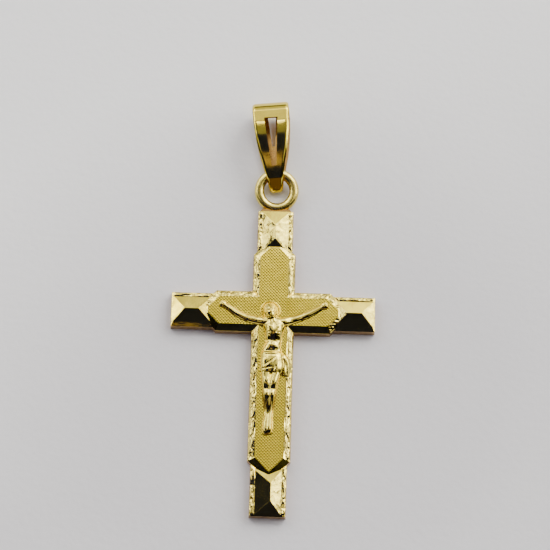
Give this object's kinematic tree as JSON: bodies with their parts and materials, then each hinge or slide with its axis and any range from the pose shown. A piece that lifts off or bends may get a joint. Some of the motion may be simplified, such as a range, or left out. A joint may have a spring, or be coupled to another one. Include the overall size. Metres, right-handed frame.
{
  "type": "crucifix pendant",
  "caption": "Yellow metal crucifix pendant with a relief figure, pyramid-faceted ends, a soldered ring and a loose tapered bail with a slot for a chain.",
  "frame": {"origin": "on the flat back face, under the crossing of the two bars", "axes": "+X to the viewer's right, +Y up the cross towards the bail, +Z out of the front; the part lies on its back"},
  "size_m": [0.0178, 0.0368, 0.003],
  "materials": {
    "yellow_gold": "cast and engraved yellow gold, polished facets on hammered rims, finely hatched matte panel",
    "bail_gold": "polished yellow gold strip"
  },
  "bodies": {
    "root": {"crucifix": "yellow_gold", "bail": "bail_gold"}
  },
  "joints": []
}
